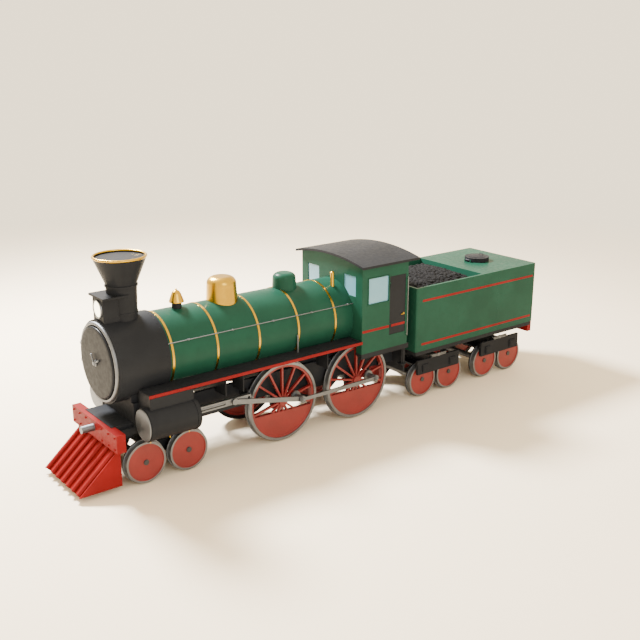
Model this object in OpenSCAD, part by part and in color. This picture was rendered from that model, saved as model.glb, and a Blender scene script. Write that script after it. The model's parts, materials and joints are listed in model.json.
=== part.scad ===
// Steam locomotive of the 4-4-0 type with its tender, at full size, in millimetres.
// +X is forward, +Y is to the left and +Z is up. Stations are measured from the leading
// driving axle (x), the centre line (y) and the rail head (z). placed() moves them into the
// frame, whose origin lies under the middle of the length, level with the wheel flanges.

/* [Wheels] */
// Tread radius of the driving wheels
driver_r = 838; // [700:1:1006]
// Distance between the two driving axles
driver_spacing = 1980; // [1880:1:2376]
// Tread radius of the leading bogie's wheels
leading_r = 408; // [340:1:410]
// Distance between the leading bogie's axles
leading_spacing = 910; // [895:1:960]
// Leading bogie's pivot, ahead of the leading driving axle
leading_x = 2700; // [2650:1:2720]
// Tread radius of the tender's wheels
tender_wheel_r = 403; // [336:1:405]
// Distance between the axles of a tender bogie
tender_axle_spacing = 870; // [868:1:960]
// Distance between the inner faces of a wheelset's two tyres
back_to_back = 1360; // [1350:1:1370]
// Width of a tyre
tyre_w = 140; // [130:1:150]
// Thickness of a tyre at its tread
tyre_t = 54; // [45:1:65]
// Height of a wheel flange above the tread
flange_h = 26; // [22:1:28]
// Thickness of a wheel flange
flange_w = 32; // [26:1:36]
// Number of spokes in a driving wheel
spoke_count = 14; // [10:1:18]
// Width of a spoke
spoke_w = 40; // [30:1:50]
// Width of a driving wheel's rim inside its tyre
rim_w = 50; // [40:1:70]
// Depth of the counterweight's straight edge below the axle
counterweight_drop = 216; // [190:1:260]

/* [Rods] */
// Distance from a driving axle to its crank pin
crank_throw = 292; // [243:1:305]
// Radius of a crank pin
crank_pin_r = 45; // [38:1:50]
// Depth of the rods, top to bottom
rod_h = 96; // [70:1:110]
// Thickness of the rods
rod_t = 36; // [28:1:36]
// Length of the main rod between its pins
main_rod_l = 1640; // [1600:1:1680]
// Radial running clearance of pins, axles and piston rods
running_gap = 0.05; // [0.02:0.01:0.1]

/* [Cylinders] */
// Radius of a cylinder's jacket
cylinder_r = 310; // [258:1:315]
// Length of a cylinder
cylinder_l = 1050; // [1030:1:1100]
// Distance of a cylinder's axis from the centre line
cylinder_y = 985; // [975:1:990]
// Height of a cylinder's axis above the rail
cylinder_z = 1235; // [1220:1:1250]
// Front face of the cylinders, ahead of the leading driving axle
cylinder_front_x = 3250; // [3240:1:3320]

/* [Boiler] */
// Radius of the boiler's jacket
boiler_r = 757; // [740:1:775]
// How far the boiler's underside lies below the top of the running boards
boiler_sink = 312; // [300:1:325]
// Radius of the smokebox
smokebox_r = 795; // [785:1:940]
// Length of the smokebox
smokebox_l = 1040; // [1000:1:1200]
// Thickness of the smokebox's shell
smokebox_t = 50; // [30:1:60]
// Number of brass bands round the boiler
band_count = 5; // [3:1:7]
// Width of a boiler band
band_w = 44; // [30:1:60]
// Height of a boiler band above the jacket
band_h = 9; // [5:1:12]
// Radius of the chimney's foot
chimney_r = 255; // [220:1:290]
// Radius of the chimney's top
chimney_top_r = 502; // [420:1:560]
// Height of the chimney's stem above the smokebox
chimney_stem_h = 627; // [530:1:720]
// Height of the chimney's cone
chimney_cone_h = 485; // [400:1:580]
// Radius of the steam dome
steam_dome_r = 336; // [280:1:400]
// Height of the steam dome above the boiler
steam_dome_h = 467; // [400:1:560]
// Radius of the sand dome
sand_dome_r = 276; // [230:1:330]
// Height of the sand dome above the boiler
sand_dome_h = 308; // [260:1:370]

/* [Running boards] */
// Distance of a running board's outer edge from the centre line
board_y = 1080; // [1070:1:1120]
// Thickness of the running boards
board_t = 60; // [40:1:70]
// Gap between a driving wheel's flange and the running board above it
board_gap = 43; // [30:1:80]

/* [Cab] */
// Half the width of the cab
cab_y = 1044; // [1030:1:1050]
// Length of the cab
cab_l = 1315; // [1250:1:1578]
// Thickness of the cab's walls
cab_t = 40; // [24:1:44]
// Height of the cab's walls at the sides
cab_h = 1919; // [1820:1:2303]
// Rise of the roof's arch between its eaves
roof_rise = 140; // [110:1:180]
// Distance of the roof's eaves from the centre line
roof_y = 1170; // [1150:1:1250]
// Thickness of the roof
roof_t = 48; // [30:1:70]
// Width of a cab door
door_w = 464; // [400:1:480]
// Height of a cab door
door_h = 1310; // [1200:1:1400]

/* [Pilot] */
// Length of the pilot, ahead of the buffer beam
pilot_l = 710; // [592:1:852]
// Half the width of the pilot
pilot_y = 800; // [680:1:940]
// Number of bars in the pilot
pilot_bars = 7; // [5:1:9]

/* [Tender] */
// Length of the tender's tank
tank_l = 4018; // [3900:1:4820]
// Half the width of the tender's tank
tank_y = 1094; // [1020:1:1120]
// Height of the tender's tank
tank_h = 1483; // [1236:1:1560]
// Length of the coal space
coal_l = 2090; // [1800:1:2200]
// Thickness of the coal space's walls
tank_t = 62; // [40:1:80]

/* [Hidden] */
$fn = 96;

// Paint and metal
black = [0.09, 0.09, 0.10];
green = [0.09, 0.29, 0.17];
red = [0.75, 0.13, 0.10];
brass = [0.85, 0.60, 0.15];
steel = [0.70, 0.71, 0.73];
glass = [0.60, 0.78, 0.88];

// Gap left where a curved piece is seated on another
seat_gap = 0.3;
// Gap round doors and lids
door_gap = 6;
// Amount by which a cutting shape passes the face it cuts
over = 1;

// Half the chord of a circle of radius r, at a distance d from its centre
function chord(r, d) = sqrt(r * r - d * d);

// Height of the running boards and of what stands on them
board_bottom = 2 * driver_r + flange_h + board_gap;
board_top = board_bottom + board_t;
boiler_z = board_top - boiler_sink + boiler_r;

// Lateral places of the wheels and the motion
tyre_in_y = back_to_back / 2;
tyre_out_y = tyre_in_y + tyre_w;
frame_y1 = tyre_in_y - 120;
frame_y2 = tyre_in_y - 40;
rod_gap = 8;
main_rod_y = cylinder_y + 43;
coupling_rod_y = main_rod_y + rod_t + rod_gap;
crank_pin_end = coupling_rod_y + rod_t;
pin_cap_t = 14;

// Crank position at rest: a little short of the rear dead centre, in line with a spoke
crank_angle = 90 + 3 * 360 / 14;
crank_dx = crank_throw * cos(crank_angle);
crank_dz = crank_throw * sin(crank_angle);
wrist_x = crank_dx + sqrt(pow(main_rod_l, 2) - pow(driver_r + crank_dz - cylinder_z, 2));

// Lengthwise stations
driver_x = [0, -driver_spacing];
smokebox_rear_x = 2520;
smokebox_front_x = smokebox_rear_x + smokebox_l;
cab_front_x = -driver_spacing + 90;
cab_rear_x = cab_front_x - cab_l;
beam_rear_x = smokebox_front_x + 50;
beam_t = 176;
beam_front_x = beam_rear_x + beam_t;
beam_y = 965;
beam_z1 = 804;
beam_z2 = 1154;
drawbar_r = 70;
drawbar_l = 254;
drawbar_z = 1012;
rear_drawbar_z = 1052;
pilot_tip_x = beam_front_x + pilot_l;
pilot_bottom = 82;
pilot_bar_r = 42;
pilot_plate_t = 30;
pilot_top_x = beam_front_x - 27;
pilot_top_z = beam_z1 - 70;
pilot_rear_x = beam_front_x - 131;
pilot_run = pilot_tip_x - pilot_top_x;
pilot_drop = pilot_top_z - pilot_bottom;
pilot_slope = atan2(pilot_drop, pilot_run);
pilot_bar_l = norm([pilot_run, pilot_drop]) - 18;
pilot_bar_step = (2 * pilot_y - 200) / (pilot_bars - 1);
pilot_nose_x = pilot_top_x + pilot_bar_l * cos(pilot_slope) + pilot_bar_r * sin(pilot_slope);
band_inset = 50;
band_step = (smokebox_rear_x - cab_front_x - 554) / (band_count - 1);
band_x = [for (i = [0 : band_count - 1]) smokebox_rear_x - band_inset - i * band_step];

// Chimney, headlamp, domes, bell and whistle
chimney_x = smokebox_front_x - 516;
chimney_kink_r = chimney_r + 33;
chimney_rim_r = 24;
smokebox_top = boiler_z + smokebox_r;
boiler_top = boiler_z + boiler_r;
chimney_foot_z = boiler_z + smokebox_r / 2;
chimney_kink_z = smokebox_top + chimney_stem_h;
chimney_top_z = chimney_kink_z + chimney_cone_h;
lamp_front_x = smokebox_front_x - 30;
lamp_y = 210;
lamp_top = smokebox_top + 427;
lens_z = (smokebox_top + lamp_top) / 2 + 4;
visor_y = 300;
visor_t = 38;
visor_over = 35;
lens_r = 155;
steam_dome_x = 900;
sand_dome_x = -630;
bell_x = 1921;
bell_r = 145;
bell_base_z = boiler_top + 113;
whistle_x = cab_front_x + 233;
whistle_y = 330;
whistle_r = 44;
whistle_h = 216;
rail_out = 55;
rail_angle = 24.3;
rail_r = 9;
post_r = 6;

// Smokebox door and its hinge
ring_r = 730;
ring_bead = 34;
ring_in_r = ring_r - ring_bead;
ring_t = 20;
door_r = ring_in_r - 12;
front_hinge_x = smokebox_front_x - 10;
front_hinge_y = -(smokebox_r + 16);
front_hinge_z = 170;
front_pin_r = 12;
front_knuckle_r = 20;
front_knuckle_h = 48;
front_lug_t = 28;
front_lug_z = front_hinge_z + front_knuckle_h / 2 + 2;

// Main frame
frame_top = board_bottom - 300;
frame_bottom = driver_r + 152;
pedestal_bottom = driver_r - 180;
driver_axle_r = 95;
small_axle_r = 70;
frame_rear_x = cab_rear_x + 55;
drag_x = cab_rear_x + 185;
drag_z1 = 1010;
drag_z2 = 1190;
drag_t = 30;
drag_pin_r = 30;
rear_plate_y = 1000;
rear_plate_z1 = 840;
step_x = cab_rear_x + 85;
step_z = 1005;
saddle_bottom = 980;
saddle_rear_x = leading_x - 330;
saddle_front_x = leading_x + 560;
saddle_top = boiler_z - chord(smokebox_r + seat_gap, frame_y1) - 5;
deck_t = 10;
deck_front_x = beam_front_x - 94;
deck_bottom = 870;

// Cab
cab_z = board_bottom - 240;
floor_t = 60;
floor_skirt = 112;
skirt_t = 30;
floor_rear_x = cab_rear_x - 55;
wall_top = cab_z + cab_h;
roof_foot_z = wall_top - 120;
roof_r = (roof_y * roof_y + roof_rise * roof_rise) / (2 * roof_rise);
roof_centre_z = wall_top + 4 - sqrt(pow(roof_r, 2) - pow(cab_y, 2));
splasher_top = board_bottom + 40;
splasher_t = 20;
splasher_x = cab_front_x - cab_t - 940;
splasher_y1 = tyre_in_y - 44;
splasher_y2 = tyre_out_y + 44;
side_window_x = [cab_front_x - 745, cab_front_x - 178];
side_window_z = [cab_z + 1080, cab_z + 1635];
front_window_y = [430, 830];
front_window_z = [cab_z + 1235, cab_z + 1675];
front_window_gap = 15;
side_door_x = cab_front_x - 783;
side_door_z = cab_z + 292;
side_hinge_x = side_door_x - 15;
side_hinge_y = cab_y - 2;
side_hinge_r = 7;
side_knuckle_r = 13;
pane_t = 8;
backhead_r = 640;
backhead_l = 270;

// Tender
tank_front_x = cab_rear_x - 232;
tank_rear_x = tank_front_x - tank_l;
tank_bottom = 1234;
tank_top = tank_bottom + tank_h;
coal_rear_x = tank_front_x - coal_l - tank_t;
coal_floor = tank_top - 520;
coal_top = tank_top + 20;
coal_edge = coal_top - 210;
coal_crown_y = 600;
coal_gap = 60;
tank_corner_r = 38;
sill_h = 102;
tender_frame_bottom = 1050;
tender_beam_t = 130;
tender_beam_z1 = 922;
tender_beam_z2 = 1172;
tender_bogie_x = [tank_front_x - 963, tank_rear_x + 935];
filler_x = (coal_rear_x + tank_rear_x) / 2;
filler_r = 225;
filler_neck_h = 40;
lid_r = 298;
lid_h = 100;
lid_t = 44;
lid_skirt_t = 14;
lid_hinge_x = filler_x + lid_r + 26;
lid_hinge_z = tank_top + 52;
lid_pin_r = 9;
tail_x = tank_rear_x - tender_beam_t - drawbar_l;

// Bogies
bogie_plate_y1 = 500;
bogie_plate_y2 = 560;
bogie_pin_r = 60;
bogie_centre_r = 190;

// Place of the leading driving axle in the frame
frame_x = -(pilot_nose_x + tail_x) / 2;

module placed() {
    translate([frame_x, 0, flange_h]) children();
}

module both_sides() {
    children();
    mirror([0, 1, 0]) children();
}

module one_side(left) {
    mirror([0, left ? 0 : 1, 0]) children();
}

module x_cylinder(x1, x2, r) {
    translate([x1, 0, 0]) rotate([0, 90, 0]) cylinder(h = x2 - x1, r = r);
}

module y_cylinder(y1, y2, r) {
    translate([0, y1, 0]) rotate([-90, 0, 0]) cylinder(h = y2 - y1, r = r);
}

// Extrudes an outline drawn in x and z from y1 to y2
module y_extrude(y1, y2) {
    translate([0, y2, 0]) rotate([90, 0, 0]) linear_extrude(y2 - y1) children();
}

// Extrudes an outline drawn in y and z from x1 to x2
module x_extrude(x1, x2) {
    translate([x1, 0, 0]) rotate([90, 0, 90]) linear_extrude(x2 - x1) children();
}

module box(x1, x2, y1, y2, z1, z2) {
    translate([x1, y1, z1]) cube([x2 - x1, y2 - y1, z2 - z1]);
}

// What is cut out of a piece that is seated on the boiler, or on the boiler and its bands
module boiler_space(r) {
    translate([0, 0, boiler_z]) x_cylinder(cab_front_x - over, smokebox_rear_x + over, r);
}

module banded_boiler_space() {
    boiler_space(boiler_r + seat_gap);
    for (x = band_x) translate([0, 0, boiler_z])
        x_cylinder(x - band_w - over, x + over, boiler_r + band_h + seat_gap);
}

module smokebox_space(r) {
    translate([0, 0, boiler_z]) x_cylinder(smokebox_rear_x - over, smokebox_front_x + 200, r);
}

// The chimney's stem, with a gap all round when something is cut to fit it
module chimney_stem(gap) {
    translate([chimney_x, 0, chimney_foot_z])
        cylinder(h = chimney_kink_z - chimney_foot_z, r1 = chimney_r + gap, r2 = chimney_kink_r + gap);
}

// Frame, deck and front end

module frame_plate_outline() {
    difference() {
        polygon([
            [frame_rear_x, frame_bottom], [-driver_spacing - 230, frame_bottom],
            [-driver_spacing - 170, pedestal_bottom], [-driver_spacing + 170, pedestal_bottom],
            [-driver_spacing + 230, frame_bottom], [-230, frame_bottom],
            [-170, pedestal_bottom], [170, pedestal_bottom],
            [230, frame_bottom], [saddle_rear_x, frame_bottom],
            [beam_rear_x, beam_z1 + 140], [beam_rear_x, beam_z2 - 70],
            [saddle_front_x, beam_z2 - 70], [saddle_front_x, board_bottom - 200],
            [saddle_rear_x - 60, board_bottom - 200], [saddle_rear_x - 160, frame_top],
            [frame_rear_x, frame_top]
        ]);
        for (x = driver_x) translate([x, driver_r]) circle(r = driver_axle_r + running_gap);
    }
}

module board_bracket(x) {
    box(x - 12, x + 12, frame_y2 - over, board_y - 60, frame_top - 60, frame_top);
    y_extrude(frame_y2 - over, board_y - 60) polygon([
        [x - 12, frame_top - 60], [x + 12, frame_top - 60],
        [x + 12, board_bottom], [x - 12, board_bottom]
    ]);
}

module drag_box() {
    for (z = [drag_z1, drag_z2 - drag_t])
        box(drag_x - 150, drag_x + 250, -frame_y1 - over, frame_y1 + over, z, z + drag_t);
    translate([drag_x, 0, drag_z1 - 20]) cylinder(h = drag_z2 - drag_z1 + 40, r = drag_pin_r);
}

// The plate across the rear end, with a window for the tender's drawbar
module rear_plate() {
    difference() {
        box(cab_rear_x, frame_rear_x + over, -rear_plate_y, rear_plate_y, rear_plate_z1, cab_z - floor_skirt);
        box(cab_rear_x - over, frame_rear_x + 2 * over, -110, 110, drag_z1 + drag_t, drag_z2 - drag_t);
    }
}

module cab_step() {
    box(cab_rear_x, step_x + 50, rear_plate_y - 120, cab_y - 4, step_z, step_z + 25);
    box(step_x - 12, step_x + 12, rear_plate_y - 20, rear_plate_y, step_z, cab_z - floor_skirt);
}

// Holds the rear end of the slide bars
module motion_bracket() {
    box(bar_rear_x, bar_rear_x + bar_block, frame_y2 - over, bar_y1,
        cylinder_z - bar_open - bar_h, cylinder_z + bar_open + bar_h + 60);
}

module firebox() {
    difference() {
        box(-driver_spacing + 380, -420, -frame_y1 - over, frame_y1 + over, frame_bottom - 160, boiler_z);
        banded_boiler_space();
    }
}

module main_frame() {
    color(black) placed() {
        both_sides() {
            y_extrude(frame_y1, frame_y2) frame_plate_outline();
            for (x = [1500, 1100]) board_bracket(x);
            board_bracket(-driver_spacing / 2);
            motion_bracket();
            cab_step();
        }
        for (x = [1300, 60 + driver_axle_r + 150, -driver_spacing - 400])
            box(x - 60, x + 60, -frame_y1 - over, frame_y1 + over, frame_bottom, frame_top);
        drag_box();
        rear_plate();
        firebox();
    }
}

module front_deck() {
    color(black) placed() {
        difference() {
            box(saddle_rear_x, saddle_front_x, -frame_y1, frame_y1, saddle_bottom, saddle_top);
            smokebox_space(smokebox_r + seat_gap);
            boiler_space(boiler_r + band_h + seat_gap);
            translate([leading_x, 0, saddle_bottom - over])
                cylinder(h = 160 + over, r = bogie_pin_r + running_gap);
        }
        box(saddle_front_x - over, beam_rear_x, -frame_y1, frame_y1, deck_bottom, beam_z2);
        box(saddle_front_x - over, deck_front_x, -frame_y1, frame_y1, beam_z2, beam_z2 + deck_t);
    }
}

module buffer_beam() {
    color(red) placed()
        box(beam_rear_x, beam_front_x, -beam_y, beam_y, beam_z1, beam_z2);
}

module drawbar_stub() {
    x_cylinder(0, drawbar_l, drawbar_r);
}

module front_drawbar() {
    color(steel) placed() translate([beam_front_x, 0, drawbar_z]) drawbar_stub();
}

// A bar lies along the pilot's slope, cut level where it meets the buffer beam
module pilot_bar(y) {
    intersection() {
        translate([pilot_top_x, y, pilot_top_z]) rotate([0, pilot_slope, 0])
            x_cylinder(-2 * pilot_bar_r, pilot_bar_l, pilot_bar_r);
        box(beam_rear_x, pilot_tip_x + 200, y - 100, y + 100, 0, beam_z1);
    }
}

module pilot() {
    color(red) placed() {
        y_extrude(-pilot_y, pilot_y) polygon([
            [pilot_top_x - 24, beam_z1], [pilot_top_x - 24, pilot_top_z],
            [pilot_tip_x - 32, pilot_bottom], [pilot_tip_x - 80, pilot_bottom],
            [pilot_top_x - 64, pilot_top_z - 8], [pilot_top_x - 64, beam_z1 - 24],
            [pilot_rear_x, beam_z1 - 24], [pilot_rear_x, beam_z1]
        ]);
        both_sides() y_extrude(pilot_y - pilot_plate_t, pilot_y) polygon([
            [pilot_top_x, beam_z1], [pilot_top_x, pilot_top_z], [pilot_tip_x, pilot_bottom],
            [pilot_rear_x, pilot_bottom], [pilot_rear_x, beam_z1]
        ]);
        for (i = [0 : pilot_bars - 1]) pilot_bar((i - (pilot_bars - 1) / 2) * pilot_bar_step);
    }
}

// Boiler and what stands on it

module boiler() {
    color(green) placed() translate([0, 0, boiler_z])
        x_cylinder(cab_front_x, smokebox_rear_x, boiler_r);
}

module boiler_band(x) {
    translate([0, 0, boiler_z]) difference() {
        x_cylinder(x - band_w, x, boiler_r + band_h);
        x_cylinder(x - band_w - over, x + over, boiler_r + seat_gap);
    }
}

module boiler_bands() {
    color(brass) placed()
        for (x = band_x) boiler_band(x);
}

module smokebox() {
    color(black) placed() {
        translate([0, 0, boiler_z]) difference() {
            x_cylinder(smokebox_rear_x, smokebox_front_x, smokebox_r);
            x_cylinder(smokebox_rear_x + 80, smokebox_front_x + over, smokebox_r - smokebox_t);
        }
        translate([0, 0, boiler_z]) for (s = [0, 1]) mirror([0, 0, s])
            box(front_hinge_x - 50, front_hinge_x + 16, front_hinge_y - 16, front_hinge_y + 70,
                front_lug_z, front_lug_z + front_lug_t);
        translate([front_hinge_x, front_hinge_y, boiler_z - front_lug_z - over])
            cylinder(h = 2 * (front_lug_z + over), r = front_pin_r);
    }
}

// The ring is part of the door, and carries its two knuckles
module smokebox_ring() {
    color(steel) placed() difference() {
        union() {
            translate([smokebox_front_x, 0, boiler_z]) rotate([0, 90, 0]) rotate_extrude() union() {
                translate([ring_in_r, seat_gap]) square([2 * ring_bead, ring_t - seat_gap]);
                intersection() {
                    translate([ring_r, ring_t]) circle(r = ring_bead);
                    translate([ring_in_r - 10, seat_gap]) square([2 * ring_bead + 20, 2 * ring_bead]);
                }
            }
            for (s = [-1, 1]) {
                box(smokebox_front_x + 1, smokebox_front_x + 22, front_hinge_y - 15, over - ring_r,
                    boiler_z + s * front_hinge_z - front_knuckle_h / 2,
                    boiler_z + s * front_hinge_z + front_knuckle_h / 2);
                translate([front_hinge_x, front_hinge_y, boiler_z + s * front_hinge_z - front_knuckle_h / 2])
                    cylinder(h = front_knuckle_h, r = front_knuckle_r);
            }
        }
        translate([front_hinge_x, front_hinge_y, boiler_z - front_hinge_z - front_knuckle_h])
            cylinder(h = 2 * (front_hinge_z + front_knuckle_h), r = front_pin_r + running_gap);
    }
}

module smokebox_door() {
    flange_r = ring_in_r - seat_gap;
    color(black) placed() translate([smokebox_front_x, 0, boiler_z]) rotate([0, 90, 0])
        rotate_extrude() polygon([
            [0, seat_gap], [flange_r, seat_gap], [flange_r, ring_t - 4], [door_r, ring_t - 4],
            [door_r, 56], [door_r - 6, 72], [door_r - 22, 82], [door_r - 60, 86], [0, 92]
        ]);
}

module chimney() {
    color(black) placed() difference() {
        translate([chimney_x, 0, 0]) rotate_extrude() polygon([
            [0, chimney_foot_z], [chimney_r, chimney_foot_z],
            [chimney_kink_r, chimney_kink_z], [chimney_top_r - 16, chimney_top_z],
            [0, chimney_top_z]
        ]);
        smokebox_space(smokebox_r + seat_gap);
    }
}

module chimney_rim() {
    color(brass) placed()
        translate([chimney_x, 0, chimney_top_z + chimney_rim_r + seat_gap]) rotate_extrude()
            translate([chimney_top_r - chimney_rim_r, 0]) circle(r = chimney_rim_r);
}

module headlamp() {
    color(black) placed() difference() {
        union() {
            box(chimney_x, lamp_front_x, -lamp_y, lamp_y, boiler_z, lamp_top);
            box(chimney_x, lamp_front_x + visor_over, -visor_y, visor_y, lamp_top, lamp_top + visor_t);
        }
        smokebox_space(smokebox_r + seat_gap);
        chimney_stem(seat_gap);
    }
}

module headlamp_lens() {
    color(glass) placed()
        translate([lamp_front_x, 0, lens_z]) rotate([0, 90, 0])
            rotate_extrude() polygon([[0, 0], [lens_r, 0], [lens_r, 8], [lens_r * 0.7, 16], [0, 20]]);
}

module bell_stand() {
    color(black) placed() difference() {
        translate([bell_x, 0, boiler_z + boiler_r / 2])
            cylinder(h = bell_base_z - boiler_z - boiler_r / 2, r = 96);
        banded_boiler_space();
    }
}

module bell() {
    color(brass) placed() translate([bell_x, 0, bell_base_z]) rotate_extrude() polygon([
        [0, 0], [bell_r, 0], [bell_r, 22], [bell_r - 55, 172], [bell_r - 75, 205],
        [bell_r - 105, 228], [20, 236], [16, 262], [0, 268]
    ]);
}

// A dome of radius r and height h over the boiler, with a rounded top
module dome(x, r, h) {
    top = boiler_top + h;
    difference() {
        translate([x, 0, 0]) rotate_extrude() polygon(concat(
            [[0, boiler_z + boiler_r / 2], [r, boiler_z + boiler_r / 2]],
            [for (a = [0 : 9 : 90]) [r * (0.42 + 0.46 * cos(a)), top - r * 0.42 * (1 - sin(a))]],
            [[0, top]]
        ));
        banded_boiler_space();
    }
}

module steam_dome() {
    color(brass) placed() dome(steam_dome_x, steam_dome_r, steam_dome_h);
}

module sand_dome() {
    color(green) placed() dome(sand_dome_x, sand_dome_r, sand_dome_h);
}

module whistle() {
    color(brass) placed() difference() {
        translate([whistle_x, whistle_y, boiler_z]) {
            cylinder(h = boiler_r + whistle_h, r = whistle_r);
            translate([0, 0, boiler_r + whistle_h]) cylinder(h = 16, r1 = whistle_r, r2 = whistle_r - 16);
        }
        banded_boiler_space();
    }
}

rail_x1 = cab_front_x;
rail_x2 = smokebox_rear_x + 22;
rail_post_x = [for (i = [0 : 4]) rail_x2 - 260 - i * band_step];

module handrail() {
    rail_at = boiler_r + rail_out;
    translate([0, 0, boiler_z]) rotate([rail_angle, 0, 0]) translate([0, rail_at, 0]) {
        x_cylinder(rail_x1, rail_x2, rail_r);
        for (x = rail_post_x) translate([x, 0, 0]) y_cylinder(seat_gap - rail_out, 0, post_r);
    }
}

pipe_x = smokebox_rear_x - 3 * band_step - 28;
pipe_r = 16;
pipe_y = boiler_r + pipe_r + 3;
pipe_h = 375;

module feed_pipe() {
    translate([pipe_x, pipe_y, board_top]) cylinder(h = pipe_h, r = pipe_r);
    difference() {
        translate([pipe_x, 0, board_top + pipe_h - pipe_r]) y_cylinder(boiler_r / 2, pipe_y, pipe_r);
        boiler_space(boiler_r + seat_gap);
    }
}

grab_x = cab_rear_x + 26;
grab_z1 = cab_z + 200;
grab_z2 = cab_z + 1530;
grab_out = 32;

module grab_rail() {
    translate([grab_x, cab_y + grab_out, grab_z1]) cylinder(h = grab_z2 - grab_z1, r = rail_r);
    for (z = [grab_z1 + 30, grab_z2 - 30])
        translate([grab_x, 0, z]) y_cylinder(cab_y, cab_y + grab_out, post_r);
}

module handrails() {
    color(steel) placed() both_sides() {
        handrail();
        feed_pipe();
        grab_rail();
    }
}

// Running boards

edge_t = 12;
board_front_x = smokebox_front_x - 410;

module running_boards() {
    boiler_in = chord(boiler_r + band_h + seat_gap, boiler_z - board_top);
    smokebox_in = chord(smokebox_r + seat_gap, boiler_z - board_top);
    color(black) placed() both_sides() {
        box(cab_front_x, smokebox_rear_x - 10, boiler_in, board_y - edge_t, board_bottom, board_top);
        box(smokebox_rear_x - 11, board_front_x, smokebox_in, board_y - edge_t, board_bottom, board_top);
    }
}

module running_board_edges() {
    color(red) placed() both_sides()
        box(cab_front_x, board_front_x, board_y - edge_t, board_y, board_bottom, board_top);
}

// Cylinders and motion

cylinder_rear_x = cylinder_front_x - cylinder_l;
chest_y2 = 1090;
piston_rod_r = 26;
wrist_pin_r = 24;
crosshead_front = 200;
crosshead_rear = 320;
bar_h = 35;
bar_y1 = cylinder_y - 50;
bar_y2 = cylinder_y + 32;
bar_open = 27.5;
bar_rear_x = 925;
bar_block = 30;
lower_bar_h = 65;
lower_bar_z = cylinder_z - 140;

module cylinders() {
    color(black) placed() both_sides() difference() {
        union() {
            translate([0, cylinder_y, cylinder_z])
                x_cylinder(cylinder_rear_x, cylinder_front_x, cylinder_r);
            box(cylinder_rear_x + 50, board_front_x, frame_y2, chest_y2,
                cylinder_z + 60, board_bottom);
            box(bar_rear_x + bar_block, cylinder_rear_x + over, bar_y1, cylinder_y + 10,
                lower_bar_z, lower_bar_z + lower_bar_h);
        }
        translate([0, cylinder_y, cylinder_z])
            x_cylinder(cylinder_rear_x - over, cylinder_front_x - 90, piston_rod_r + running_gap);
    }
}

module cylinder_covers() {
    color(steel) placed() both_sides()
        translate([cylinder_front_x, cylinder_y, cylinder_z]) rotate([0, 90, 0]) rotate_extrude()
            polygon([[0, 0], [cylinder_r - 8, 0], [cylinder_r - 8, 10], [cylinder_r - 22, 20], [0, 34]]);
}

module slide_bars() {
    color(steel) placed() both_sides() {
        for (s = [-1, 1]) {
            z = cylinder_z + s * (bar_open + bar_h / 2);
            box(bar_rear_x, cylinder_rear_x, bar_y1, bar_y2, z - bar_h / 2, z + bar_h / 2);
        }
        box(bar_rear_x, bar_rear_x + bar_block, bar_y1, bar_y2,
            cylinder_z - bar_open - bar_h, cylinder_z + bar_open + bar_h);
    }
}

module crosshead(left) {
    color(steel) placed() one_side(left) {
        box(wrist_x - crosshead_rear, wrist_x + crosshead_front, bar_y1, bar_y2,
            cylinder_z - bar_open + seat_gap, cylinder_z + bar_open - seat_gap);
        translate([0, cylinder_y, cylinder_z])
            x_cylinder(wrist_x + crosshead_front, cylinder_rear_x + 220, piston_rod_r);
        translate([wrist_x, 0, cylinder_z]) y_cylinder(bar_y2, main_rod_y - rod_gap, wrist_pin_r);
    }
}

module crosshead_left() {
    crosshead(true);
}

module crosshead_right() {
    crosshead(false);
}

// Outline of a rod between two eyes, drawn along x from the first eye
module rod_outline(length, h1, h2, eye1, eye2) {
    polygon([[0, -h1 / 2], [length, -h2 / 2], [length, h2 / 2], [0, h1 / 2]]);
    circle(r = eye1);
    translate([length, 0]) circle(r = eye2);
}

eye_r = crank_pin_r + 30;

module coupling_rod(left) {
    color(steel) placed() one_side(left) translate([crank_dx, 0, driver_r + crank_dz])
        y_extrude(coupling_rod_y, coupling_rod_y + rod_t) difference() {
            mirror([1, 0]) rod_outline(driver_spacing, rod_h * 0.75, rod_h * 0.9, eye_r, eye_r);
            for (x = [0, -driver_spacing])
                translate([x, 0]) circle(r = crank_pin_r + running_gap);
        }
}

module coupling_rod_left() {
    coupling_rod(true);
}

module coupling_rod_right() {
    coupling_rod(false);
}

module main_rod(left) {
    tilt = asin((cylinder_z - driver_r - crank_dz) / main_rod_l);
    color(steel) placed() one_side(left) translate([crank_dx, 0, driver_r + crank_dz])
        rotate([0, -tilt, 0]) y_extrude(main_rod_y, main_rod_y + rod_t) difference() {
            rod_outline(main_rod_l, rod_h, rod_h, eye_r, 62);
            circle(r = crank_pin_r + running_gap);
        }
}

module main_rod_left() {
    main_rod(true);
}

module main_rod_right() {
    main_rod(false);
}

// Wheels

module tyre(r) {
    translate([0, tyre_in_y, 0]) rotate([-90, 0, 0]) difference() {
        union() {
            cylinder(h = tyre_w, r = r);
            cylinder(h = flange_w, r = r + flange_h);
        }
        translate([0, 0, -over]) cylinder(h = tyre_w + 2 * over, r = r - tyre_t);
    }
}

module driving_tyres(x) {
    color(steel) placed() translate([x, 0, driver_r]) both_sides() tyre(driver_r);
}

module driving_tyres_1() {
    driving_tyres(driver_x[0]);
}

module driving_tyres_2() {
    driving_tyres(driver_x[1]);
}

hub_r = 100;
crank_boss_r = 112;
crank_boss_t = 40;
counterweight_tilt = 1.5;

module spoke_outline() {
    for (i = [0 : spoke_count - 1]) rotate(crank_angle + i * 360 / spoke_count)
        translate([0, -spoke_w / 2]) square([driver_r - tyre_t - rim_w / 2, spoke_w]);
}

module rim_outline() {
    rim_out = driver_r - tyre_t;
    difference() {
        circle(r = rim_out - seat_gap);
        circle(r = rim_out - rim_w);
    }
}

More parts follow.
